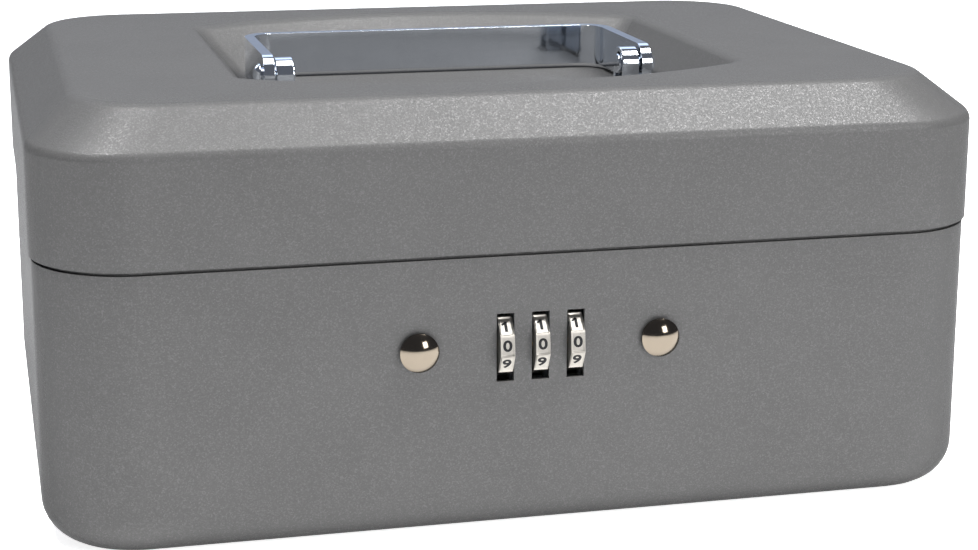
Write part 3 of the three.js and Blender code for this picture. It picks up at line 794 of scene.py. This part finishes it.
class CASHBOX_OT_handle_fittings(PieceOperator, bpy.types.Operator):
    """Bend the two handle clips and head the two pivot rivets"""

    bl_idname = "cashbox.handle_fittings"
    bl_label = "Handle clips and rivets"

    def build(self):
        for name, side in SIDES.items():
            self.clip(name)
            self.rivet(name, side)

    @staticmethod
    def clip(name):
        """A strap over the rivet with two legs through the lid."""
        low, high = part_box(f"handle_clip_{name}")
        pivot = PIVOTS["handle_swing"]
        front = pivot.y - CLIP_RADIUS
        clip = block(
            f"handle_clip_{name}_finished", (low.x, front, low.z), (high.x, front + CLIP_THICK, pivot.z),
        )
        with Editing(clip) as edit:
            edit.pick("FACE", flat_top)
            bpy.ops.mesh.spin(steps=24, angle=math.pi, center=pivot, axis=(1, 0, 0))
            edit.pick("FACE", lambda f: near(f.calc_center_median().z, pivot.z))
            edit.extrude((0, 0, low.z - pivot.z))
        tidy(clip)
        for side, end in ((-1, low.y), (1, high.y)):
            edge = pivot.y + side * (CLIP_RADIUS - 0.2 * MM)
            foot_top = low.z + CLIP_THICK
            foot = block("foot", (low.x, min(edge, end), low.z), (high.x, max(edge, end), foot_top))
            combine(clip, foot, "UNION")
        ease(clip, 0.28 * MM, 3, 40)
        smooth(clip, 40)
        finish_piece(clip, "lid", "chrome", f"handle_clip_{name}")

    @staticmethod
    def rivet(name, side):
        """A rivet with a stepped shank and a domed outer head."""
        low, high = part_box(f"handle_rivet_{name}")
        pivot = PIVOTS["handle_swing"]
        ends = sorted((low.x, high.x), key=abs)
        arm_in = side * (BAIL_HIGH.x - sizes().strip - CLEARANCE)
        head = side * (BAIL_HIGH.x + CLEARANCE)
        lead_in, collar, shank, crown = 2.2 * MM, 2.4 * MM, 1.8 * MM, 2.7 * MM
        stations = [(lead_in, ends[0]), (collar, ends[0] + side * 0.3 * MM), (collar, arm_in)]
        stations += [(shank, arm_in), (shank, head)]
        stations += dome(crown, abs(ends[1] - head), 0.4 * MM, head, side)
        piece = turned(f"handle_rivet_{name}_finished", Vector((0, pivot.y, pivot.z)), "X", stations)
        finish_piece(piece, "handle", "chrome", f"handle_rivet_{name}")


def dome(radius, height, rim, start, direction, steps=10):
    """Stations of a domed head: a short straight rim, then a spherical crown."""
    crown = height - rim
    sphere = (radius * radius + crown * crown) / (2 * crown)
    break_edge = 0.15 * MM
    stations = [(radius - break_edge, start)]
    stations += [(radius, start + direction * along) for along in (break_edge, rim)]
    for step in range(1, steps):
        r = radius * math.cos(math.pi / 2 * step / steps)
        rise = math.sqrt(sphere * sphere - r * r) - (sphere - crown)
        stations.append((r, start + direction * (rim + rise)))
    return stations


def turned(name, centre, axis, stations, sides=64):
    """A turned piece: a disc drawn out along an axis and scaled at each (radius, place) station."""
    index = "XYZ".index(axis)
    across = Vector((0, 0, 0))
    across[index] = 1
    first_radius, first_place = stations[0]
    start = centre.copy()
    start[index] = first_place
    select_only()
    bpy.ops.mesh.primitive_circle_add(
        vertices=sides, radius=first_radius, fill_type="NGON", location=start,
        rotation=across.to_track_quat("Z", "Y").to_euler(),
    )
    piece = settle(name)
    with Editing(piece) as edit:
        bpy.ops.mesh.select_mode(type="FACE")
        bpy.ops.mesh.select_all(action="SELECT")
        radius, place = first_radius, first_place
        for next_radius, next_place in stations[1:]:
            edit.extrude(tuple(across * (next_place - place)))
            factors = [next_radius / radius] * 3
            factors[index] = 1
            middle = centre.copy()
            middle[index] = next_place
            edit.resize(tuple(factors), middle)
            radius, place = next_radius, next_place
    tidy(piece)
    smooth(piece, 35)
    return piece


# ---------------------------------------------------------------- lock


class CASHBOX_OT_knobs(PieceOperator, bpy.types.Operator):
    """Turn the two domed thumb knobs"""

    bl_idname = "cashbox.knobs"
    bl_label = "Thumb knobs"

    def build(self):
        for name in SIDES:
            low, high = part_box(f"knob_{name}")
            centre = (low + high) / 2
            wall = BASE_LOW.y - CLEARANCE
            stations = [(KNOB_NECK, high.y), (KNOB_NECK, wall)]
            stations += dome(sizes().knob_radius, abs(low.y - wall), 0.75 * MM, wall, -1, 14)
            piece = turned(f"knob_{name}_finished", centre, "Y", stations, 96)
            finish_piece(piece, "slide", "nickel", f"knob_{name}")


class CASHBOX_OT_wheels(PieceOperator, bpy.types.Operator):
    """Mould the three ten-sided number wheels and fill their digits"""

    bl_idname = "cashbox.wheels"
    bl_label = "Number wheels"

    def build(self):
        for name in WHEELS:
            pivot = PIVOTS[f"dial_{name}_spin"]
            low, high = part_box(f"dial_{name}")
            wheel = self.wheel(name, pivot, low.x, high.x)
            finish_piece(wheel, f"wheel_{name}", "dial_plastic", f"dial_{name}")
            digits = self.digits(name, pivot)
            finish_piece(digits, f"wheel_{name}", "dial_plastic", surface="digit_ink")

    @staticmethod
    def wheel(name, pivot, left, right):
        """A ten-sided wheel with a hollowed facet between two ridges for each digit."""
        radius, bore_radius, ridge = sizes().wheel_radius, 2.4 * MM, 0.36 * MM
        start, end = Vector((left, pivot.y, pivot.z)), Vector((right, pivot.y, pivot.z))
        wheel = bar(f"dial_{name}_finished", start, end, radius, FACETS)
        with Editing(wheel):
            first = min(
                (face for face in bmesh.from_edit_mesh(wheel.data).faces if abs(face.normal.x) < 0.1),
                key=lambda face: face.normal.y,
            )
            turn = math.atan2(first.normal.z, -first.normal.y)
        turned_up = Matrix.Rotation(turn - READING_TILT, 4, "X")
        wheel.data.transform(Matrix.Translation(pivot) @ turned_up @ Matrix.Translation(-pivot))
        with Editing(wheel) as edit:
            edit.pick("FACE", lambda f: abs(f.normal.x) < 0.1)
            bpy.ops.mesh.inset(thickness=ridge, depth=-sizes().facet_sink, use_individual=True)
        past = Vector((MM, 0, 0))
        combine(wheel, bar("bore", start - past, end + past, bore_radius))
        ease(wheel, 0.1 * MM, 2, 20)
        smooth(wheel, 30)
        return wheel

    @staticmethod
    def digits(name, pivot):
        """The digits 0 to 9 around one wheel, 0 to the front and counting up from there."""
        depth = sizes().wheel_radius * math.cos(FACET_TURN / 2) - sizes().facet_sink
        relief, stretch = 0.04 * MM, 1.25
        pieces = []
        for digit in range(FACETS):
            select_only()
            bpy.ops.object.text_add()
            text = bpy.context.object.data
            text.body = str(digit)
            text.align_x = "CENTER"
            text.align_y = "CENTER"
            text.size = 3.1 * MM
            text.extrude = relief
            text.offset = 0.09 * MM
            text.resolution_u = 4
            bpy.ops.object.convert(target="MESH")
            mesh = bpy.context.object
            across = [vertex.co.x for vertex in mesh.data.vertices]
            up = [vertex.co.y for vertex in mesh.data.vertices]
            middle = Vector((min(across) + max(across), min(up) + max(up), 0)) / 2
            centred = Matrix.Diagonal((stretch, 1, 1, 1)) @ Matrix.Translation(-middle)
            upright_turn = Matrix.Rotation(math.pi / 2, 4, "X")
            outwards = Matrix.Translation((0, -depth, 0))
            round_wheel = Matrix.Rotation(-digit * FACET_TURN - READING_TILT, 4, "X")
            placed = Matrix.Translation(pivot) @ round_wheel @ outwards @ upright_turn
            mesh.data.transform(placed @ centred)
            pieces.append(mesh)
            if digit == 1:
                stroke, reach = 0.42 * MM, 0.95 * MM
                flag = block("flag", (-reach, -stroke / 2, -relief), (0, stroke / 2, relief))
                top = Matrix.Translation((0, (max(up) - min(up) - stroke) / 2, 0))
                flag.data.transform(placed @ top @ Matrix.Rotation(math.radians(35), 4, "Z"))
                pieces.append(flag)
        select_only(pieces[0])
        for piece in pieces:
            piece.select_set(True)
        bpy.ops.object.join()
        joined = bpy.context.object
        joined.name = joined.data.name = f"digits_{name}"
        return joined


class CASHBOX_OT_lock_works(PieceOperator, bpy.types.Operator):
    """Finish the lock's inner pieces: frame, shaft, sleeves, spring, slide, nuts, screws, cover and strike"""

    bl_idname = "cashbox.lock_works"
    bl_label = "Lock works"

    def build(self):
        for name in WHEELS:
            dressed_copy(f"dial_sleeve_{name}", f"wheel_{name}", "brass", 0.1 * MM)
        dressed_copy("dial_shaft", "base", "zinc_steel", 0.15 * MM)
        dressed_copy("dial_detent_spring", "base", "spring_steel", 0.08 * MM)
        dressed_copy("lock_frame", "base", "zinc_steel", 0.18 * MM)
        dressed_copy("locking_slide", "slide", "zinc_steel", 0.1 * MM)
        dressed_copy("strike_plate", "lid", "zinc_steel", 0.18 * MM)
        dressed_copy("lock_cover", "base", "powder_coat", 0.25 * MM, 3)
        for name in SIDES:
            dressed_copy(f"knob_nut_{name}", "slide", "zinc_steel", 0.15 * MM)
            dressed_copy(f"lock_nut_{name}", "base", "zinc_steel", 0.15 * MM)
            dressed_copy(f"cover_screw_{name}", "base", "zinc_steel", 0.12 * MM, angle=50)


class CASHBOX_OT_hinges(PieceOperator, bpy.types.Operator):
    """Finish the two rear hinges and their pins"""

    bl_idname = "cashbox.hinges"
    bl_label = "Hinges"

    def build(self):
        for name in SIDES:
            dressed_copy(f"hinge_base_leaf_{name}", "base", "zinc_steel", 0.15 * MM, angle=40)
            dressed_copy(f"hinge_lid_leaf_{name}", "lid", "zinc_steel", 0.15 * MM, angle=40)
            dressed_copy(f"hinge_pin_{name}", "base", "zinc_steel", 0.12 * MM, angle=40)


class CASHBOX_OT_tray(PieceOperator, bpy.types.Operator):
    """Mould the coin tray and finish the two ledges that carry it"""

    bl_idname = "cashbox.tray"
    bl_label = "Coin tray and ledges"

    def build(self):
        dressed_copy("coin_tray", "tray", "tray_plastic", 0.5 * MM, 3, 40)
        for name in SIDES:
            dressed_copy(f"tray_ledge_{name}", "base", "powder_coat", 0.2 * MM)


# ---------------------------------------------------------------- stage


class CASHBOX_OT_stage(PieceOperator, bpy.types.Operator):
    """Set the floor, the soft lights and the camera"""

    bl_idname = "cashbox.stage"
    bl_label = "Floor, lights and camera"

    def build(self):
        self.floor()
        self.lights()
        self.camera()

    @staticmethod
    def floor():
        """A plain white table that glows a little, so that no shadow shows on it."""
        select_only()
        bpy.ops.mesh.primitive_plane_add(size=12, location=(0, 0, -0.05 * MM))
        floor = bpy.context.object
        floor.name = "floor"
        finish = Finish("floor_white", Roughness=0.9, Specular_IOR_Level=0.1, Emission_Strength=0.82)
        tone = finish.noise(0.6, 2)
        floor.data.materials.append(finish.done(
            Base_Color=finish.blend(tone, (0.88,) * 3, (0.92,) * 3),
            Emission_Color=finish.blend(tone, (0.98, 0.98, 0.98), (1, 1, 1)),
        ))

    def lights(self):
        """A dim room with soft boxes overhead, in front and behind; those behind are a little blue."""
        world = bpy.data.worlds.new("dim_room")
        bpy.context.scene.world = world
        world.use_nodes = True
        background = world.node_tree.nodes["Background"]
        background.inputs["Color"].default_value = (0.9, 0.95, 1.1, 1)
        background.inputs["Strength"].default_value = 0.13
        sky = (0.8, 0.95, 1.25)
        self.soft_box("overhead_centre", (0.03, 0.0, 1.0), 0.9, (0.6, 0.45), 3.5)
        self.soft_box("overhead_right", (0.38, -0.15, 0.91), 0.9, (0.36, 0.36), 13.0)
        self.soft_box("overhead_left", (-0.38, -0.04, 0.93), 0.9, (0.12, 0.12), 10.5)
        self.soft_box("front", (0.42, -0.8, 0.33), 1.0, (0.28, 0.36), 4.6)
        self.soft_box("rear_left", (-0.5, 0.75, 0.42), 1.0, (0.2, 0.2), 0.7)
        self.soft_box("rear_low", (0.0, 0.9, 0.42), 1.35, (2.6, 1.1), 2.4, sky)
        self.soft_box("rear_high", (0.0, 0.7, 0.7), 1.0, (0.9, 0.5), 1.5, sky)

    @staticmethod
    def soft_box(name, direction, distance, size, power, tint=(1, 1, 1)):
        """A rectangular soft light in a direction from the middle of the box, aimed back at it."""
        data = bpy.data.lights.new(name, "AREA")
        data.shape = "RECTANGLE"
        data.size, data.size_y = size
        data.energy = power
        data.color = tint
        light = bpy.data.objects.new(name, data)
        bpy.context.scene.collection.objects.link(light)
        target = Vector((0, 0, 0.05))
        light.location = target + Vector(direction).normalized() * distance
        light.rotation_euler = (target - light.location).to_track_quat("-Z", "Y").to_euler()

    @staticmethod
    def camera():
        """A long lens, a little to the left of the box and above it."""
        data = bpy.data.cameras.new("camera")
        data.sensor_width = 36
        data.lens = 77.55
        data.shift_x = -0.0146
        data.shift_y = -0.0496
        data.clip_end = 50
        camera = bpy.data.objects.new("camera", data)
        bpy.context.scene.collection.objects.link(camera)
        turn = Matrix.Rotation(math.radians(-14.237), 4, "Z")
        turn = turn @ Matrix.Rotation(math.radians(-12.973), 4, "X")
        turn = turn @ Matrix.Rotation(math.radians(-0.295), 4, "Y")
        turn = turn @ Matrix.Rotation(math.pi / 2, 4, "X")
        camera.matrix_world = Matrix.Translation((-0.10835, -0.47523, 0.15850)) @ turn
        bpy.context.scene.camera = camera
        bpy.context.scene.view_settings.view_transform = "Standard"


# ---------------------------------------------------------------- panel and main


class CASHBOX_PT_panel(bpy.types.Panel):
    """Sizes, colours and building steps of the cash box."""

    bl_label = "Cash Box"
    bl_idname = "CASHBOX_PT_panel"
    bl_space_type = "VIEW_3D"
    bl_region_type = "UI"
    bl_category = "Cash Box"

    def draw(self, context):
        for group in (context.scene.cash_box_sizes, context.scene.cash_box_colours):
            column = self.layout.column()
            for name in group.bl_rna.properties.keys():
                if name not in {"rna_type", "name"}:
                    column.prop(group, name)
        for operator in STEPS:
            self.layout.operator(operator.bl_idname)


STEPS = (
    CASHBOX_OT_stage, CASHBOX_OT_base, CASHBOX_OT_lid, CASHBOX_OT_handle, CASHBOX_OT_handle_fittings,
    CASHBOX_OT_knobs, CASHBOX_OT_wheels, CASHBOX_OT_hinges, CASHBOX_OT_lock_works, CASHBOX_OT_tray,
)
CLASSES = (CashBoxSizes, CashBoxColours, *STEPS, CASHBOX_PT_panel)


def register():
    """Registers the classes and the two groups of settings."""
    for cls in CLASSES:
        bpy.utils.register_class(cls)
    bpy.types.Scene.cash_box_sizes = bpy.props.PointerProperty(type=CashBoxSizes)
    bpy.types.Scene.cash_box_colours = bpy.props.PointerProperty(type=CashBoxColours)


def unregister():
    """Undoes register()."""
    del bpy.types.Scene.cash_box_colours
    del bpy.types.Scene.cash_box_sizes
    for cls in reversed(CLASSES):
        bpy.utils.unregister_class(cls)


def main():
    """Registers the classes and runs every building step."""
    register()
    for step in STEPS:
        area, name = step.bl_idname.split(".")
        getattr(getattr(bpy.ops, area), name)()


if __name__ == "__main__":
    main()
